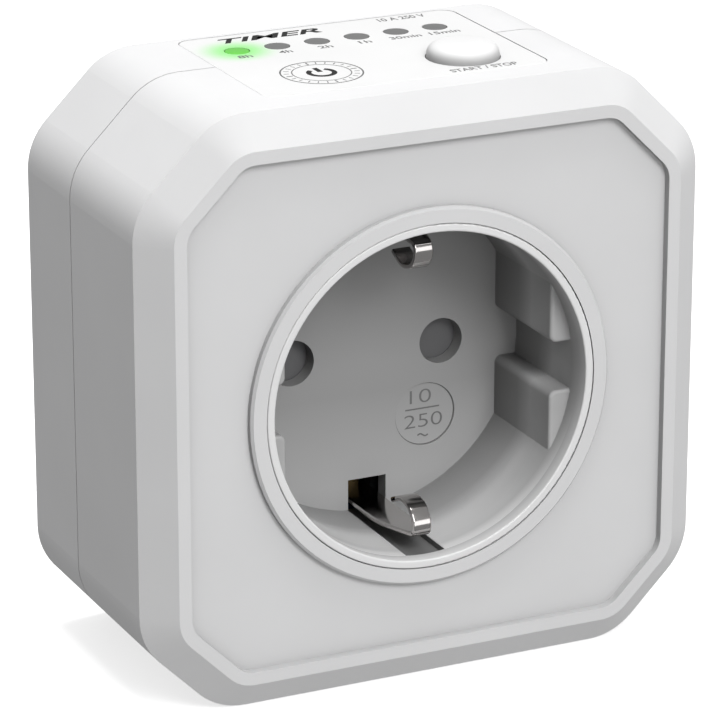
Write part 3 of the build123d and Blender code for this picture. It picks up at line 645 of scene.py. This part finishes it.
# %% Earth clips
CLIP_BEND_Y, CLIP_NOSE_Y = -42.5, -49.85
CLIP_NARROW, CLIP_HALF_SHEET, CLIP_EDGE = 1.15, 0.3, 0.2
clip_high = box_mm("earth_clip_top")[1]
CLIP_WIDE = clip_high[0]
CLIP_TAIL_Y = clip_high[1]
CLIP_STRIP_Z = clip_high[2] - CLIP_HALF_SHEET
CLIP_LINE = [
    (CLIP_TAIL_Y, CLIP_STRIP_Z),
    (CLIP_BEND_Y, CLIP_STRIP_Z),
    (CLIP_NOSE_Y, 17.42),
    (-50.5, 16.5),
    (-49.4, 14.5),
    (-46.9, 13.9),
    (-44.5, 15.0),
]
CLIP_CURVES = [2.5, 0.42, 0.95, 1.1, 1.1]
corner_turn = np.linspace(0.0, np.pi / 2, 7)
section_turn = (np.arange(4)[:, None] * np.pi / 2 + corner_turn).ravel()
section_side = np.repeat(np.array([1.0, -1.0, -1.0, 1.0]), len(corner_turn))
section_face = np.repeat(np.array([1.0, 1.0, -1.0, -1.0]), len(corner_turn))


def bent_strip(name, side, node):
    """A sheet strip along CLIP_LINE; side 1 is the upper clip and side -1 its mirror image."""
    line = rounded(CLIP_LINE, CLIP_CURVES, steps=16)
    first = np.linspace(line[0], line[1], 12)[:-1]
    line = np.vstack([first, line[1:]]) * np.array([1.0, side])
    tangent = np.gradient(line, axis=0)
    tangent /= np.linalg.norm(tangent, axis=1, keepdims=True)
    normal = np.stack([-tangent[:, 1], tangent[:, 0]], axis=-1)
    half = np.interp(line[:, 0], [CLIP_NOSE_Y, CLIP_BEND_Y], [CLIP_NARROW, CLIP_WIDE])
    past_nose = np.arange(len(line)) > np.argmin(line[:, 0])
    half = np.where(past_nose, CLIP_NARROW, half)[:, None]
    across = section_side * (half - CLIP_EDGE) + CLIP_EDGE * np.cos(section_turn)
    lift = section_face * (CLIP_HALF_SHEET - CLIP_EDGE) + CLIP_EDGE * np.sin(section_turn)
    along, up = line[:, :1] + normal[:, :1] * lift, line[:, 1:] + normal[:, 1:] * lift
    rings = np.stack([across, along, up], axis=-1)
    return skin(name, rings * MM, "nickel", node, node)


bent_strip("earth_clip_top_strip", 1.0, "earth_clip_top")
bent_strip("earth_clip_bottom_strip", -1.0, "earth_clip_bottom")
print("clips: 2")

# %% [markdown]
# ## Printing and moulded marks
#
# The panel is printed in grey and black, and the socket's floor carries a moulded rating, drawn in
# dark grey as painted shade.
# An image would be the usual way to print, but it blurs when the view comes close. Here
# each word is a text outline and each line a flat stroke, both given the thickness of a
# coat of paint, so they stay sharp and keep their own finish.

# %% Inks and strokes
finishes["label_ink"] = finish("label_ink", (0.2, 0.2, 0.2), 0.6, mottle=0.08)
finishes["black_ink"] = finish("black_ink", (0.02, 0.02, 0.02), 0.6, mottle=0.08)
finishes["line_ink"] = finish("line_ink", (0.16, 0.16, 0.16), 0.6, mottle=0.08)
# The moulded rating is as white as the insert; this grey is painted shade for its edges.
finishes["badge_painted_shade"] = finish("badge_painted_shade", (0.24, 0.24, 0.24), 0.5)
ON_PANEL = Matrix.Identity(4)
ON_FLOOR = Matrix.Rotation(math.radians(90), 4, "X")
INK_THICKNESS = 0.03


def lettering(name, words, centre, width, height, surface, ink, lean=0.0, weight=0.0):
    """Words as a thin solid, stretched to width by height mm and laid on a surface."""
    curve = bpy.data.curves.new(name, "FONT")
    curve.body = words
    curve.shear = lean
    curve.offset = weight
    curve.extrude = 0.5
    holder = bpy.data.objects.new(name + "_outline", curve)
    mesh = bpy.data.meshes.new_from_object(holder)
    bpy.data.objects.remove(holder)
    points = np.empty(len(mesh.vertices) * 3)
    mesh.vertices.foreach_get("co", points)
    points = points.reshape(-1, 3)
    low, high = points.min(axis=0), points.max(axis=0)
    points = (points - (low + high) / 2) / (high - low) * np.array([width, height, INK_THICKNESS])
    mesh.vertices.foreach_set("co", (points * MM).ravel())
    mesh.transform(Matrix.Translation(Vector(centre) * MM) @ surface)
    mesh.materials.clear()
    mesh.materials.append(finishes[ink])
    piece = bpy.data.objects.new(name, mesh)
    bpy.context.scene.collection.objects.link(piece)
    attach(piece, "case")
    return piece


def stroke(name, path, half_width, centre, surface, ink, closed=False):
    """A flat line of even width along a plane path in mm, laid on a surface."""
    path = np.asarray(path, dtype=float)
    if closed:
        tangent = np.roll(path, -1, axis=0) - np.roll(path, 1, axis=0)
    else:
        tangent = np.gradient(path, axis=0)
    tangent /= np.linalg.norm(tangent, axis=1, keepdims=True)
    normal = np.stack([-tangent[:, 1], tangent[:, 0]], axis=-1) * half_width
    left, right = path + normal, path - normal
    high = np.full(len(path), INK_THICKNESS / 2)
    corners = ((left, -high), (right, -high), (right, high), (left, high))
    rings = np.stack([np.column_stack(corner) for corner in corners], axis=1)
    if closed:
        rings = np.concatenate([rings, rings[:1]])
    place = np.array((Matrix.Translation(Vector(centre) * MM) @ surface).to_4x4())
    flat = rings.reshape(-1, 3) * MM
    rings = (flat @ place[:3, :3].T + place[:3, 3]).reshape(rings.shape)
    piece = skin(name, rings, ink, "case")
    piece.data.shade_flat()
    return piece


def circle_path(radius, start=0.0, stop=360.0, steps=96):
    """Points round a circle from start to stop degrees."""
    turn = np.radians(np.linspace(start, stop, steps, endpoint=stop - start < 360.0))
    return np.column_stack([radius * np.cos(turn), radius * np.sin(turn)])


print("inks ready")

# %% [markdown]
# ## Panel lettering
#
# Each lamp has its time in front of it, and so has the button its words. The title leans
# forward and is heavier than the rest. The words are fitted to a width and a height, so
# that another font would still fit, and a longer time sits a little further right.

# %% Panel lettering
TIME_WIDTHS = {"8h": 1.7, "4h": 1.6, "2h": 1.7, "1h": 1.5, "30min": 3.9, "15min": 3.8}
TIME_HEIGHT, TIME_DROP = 1.05, 2.6
TIME_SHIFT, TIME_SPREAD = -0.25, 0.06
PRINT_WEIGHT = 0.012
for (words, wide), (lamp_x, lamp_y) in zip(TIME_WIDTHS.items(), LAMP_CENTRES):
    place = (lamp_x + TIME_SHIFT + TIME_SPREAD * wide, lamp_y - TIME_DROP, PANEL_TOP)
    lettering(
        "label_" + words, words, place, wide, TIME_HEIGHT, ON_PANEL, "label_ink", weight=PRINT_WEIGHT
    )
for name, words, x, y, wide, high in (
    ("label_start", "START / STOP", 10.3, -44.5, 8.3, 1.15),
    ("label_rating", "10 A 250 V", 11.3, -21.1, 6.0, 1.25),
):
    place = (x, y, PANEL_TOP)
    lettering(name, words, place, wide, high, ON_PANEL, "label_ink", weight=PRINT_WEIGHT)
lettering(
    "label_timer",
    "TIMER",
    (-5.9, -22.0, PANEL_TOP),
    12.6,
    1.9,
    ON_PANEL,
    "black_ink",
    lean=0.3,
    weight=0.022,
)
print("labels:", len(TIME_WIDTHS) + 3)

# %% [markdown]
# ## Dial pictogram
#
# A dial with 24 ticks round a standby sign says what the device does: it counts time and
# then switches off. The ring at 0, 90, 180 and 270 degrees has longer, bolder ticks. The
# ticks are placed by a loop round the circle, which is easier to change than a drawing.

# %% Dial pictogram
DIAL = (-7.1, -38.8, PANEL_TOP)
TICKS = 24
OUTER_RADIUS, INNER_RADIUS, STANDBY_RADIUS = 4.65, 3.35, 1.45
TICK_END, TICK_START, QUARTER_START = 4.3, 3.7, 3.55
BOLD_HALF, FINE_HALF, STANDBY_HALF = 0.09, 0.06, 0.3
outer_ring, inner_ring = circle_path(OUTER_RADIUS), circle_path(INNER_RADIUS)
stroke("dial_outer_ring", outer_ring, BOLD_HALF, DIAL, ON_PANEL, "line_ink", closed=True)
stroke("dial_inner_ring", inner_ring, FINE_HALF, DIAL, ON_PANEL, "line_ink", closed=True)
for index in range(TICKS):
    turn = 2 * math.pi * index / TICKS
    is_quarter = index % (TICKS // 4) == 0
    start, half_width = (QUARTER_START, BOLD_HALF) if is_quarter else (TICK_START, FINE_HALF)
    tick = [(math.cos(turn) * reach, math.sin(turn) * reach) for reach in (start, TICK_END)]
    stroke(f"dial_tick_{index:02d}", tick, half_width, DIAL, ON_PANEL, "line_ink")
standby_arc = circle_path(STANDBY_RADIUS, 125.0, 415.0)
stroke("dial_standby_ring", standby_arc, STANDBY_HALF, DIAL, ON_PANEL, "black_ink")
stroke("dial_standby_bar", [(0.0, 0.3), (0.0, 2.0)], STANDBY_HALF, DIAL, ON_PANEL, "black_ink")
print("dial ticks:", TICKS)

# %% [markdown]
# ## Marks on the socket's floor, in painted shade
#
# The rating is moulded in a shallow round dish in the floor: the current over the voltage
# with a bar between them, and a wave for alternating current. Real marks stand up a
# little and show only by their shaded edges. Cutting them into the solid would cost many
# faces, so the marks and the dish's edge are thin pieces in a darker grey, painted shade
# that reads the same way at this size.

# %% Socket floor marks
BADGE_X, BADGE_Z = 7.5, -8.77
WELL_DEPTH, DISH_DEPTH = 17.35, 0.2
BADGE_FLOOR = RIM_FRONT + WELL_DEPTH + DISH_DEPTH
BADGE = (BADGE_X, BADGE_FLOOR, BADGE_Z)
BADGE_RADIUS, DIGIT_HEIGHT = 3.8, 1.65
WAVE_START, WAVE_LONG, WAVE_HIGH, WAVE_DROP = -0.85, 1.35, 0.16, -2.65
# Painted shade: the marks and the dish's edge are drawn in darker grey.
for name, words, right, up, wide in (
    ("badge_10", "10", -0.5, 2.2, 2.75),
    ("badge_250", "250", -0.12, -0.82, 4.9),
):
    place = (BADGE_X + right, BADGE_FLOOR, BADGE_Z + up)
    lettering(name, words, place, wide, DIGIT_HEIGHT, ON_FLOOR, "badge_painted_shade", weight=-0.012)
stroke("badge_bar", [(-2.45, 0.68), (1.95, 0.68)], BOLD_HALF, BADGE, ON_FLOOR, "badge_painted_shade")
wave_turn = np.linspace(0.0, 2 * np.pi, 24)
wave_across = WAVE_START + WAVE_LONG * wave_turn / (2 * np.pi)
wave = np.column_stack([wave_across, WAVE_DROP + WAVE_HIGH * np.sin(wave_turn)])
stroke("badge_wave", wave, BOLD_HALF, BADGE, ON_FLOOR, "badge_painted_shade")
badge_ring = circle_path(BADGE_RADIUS)
stroke("badge_ring", badge_ring, FINE_HALF, BADGE, ON_FLOOR, "badge_painted_shade", closed=True)
print("floor marks done")
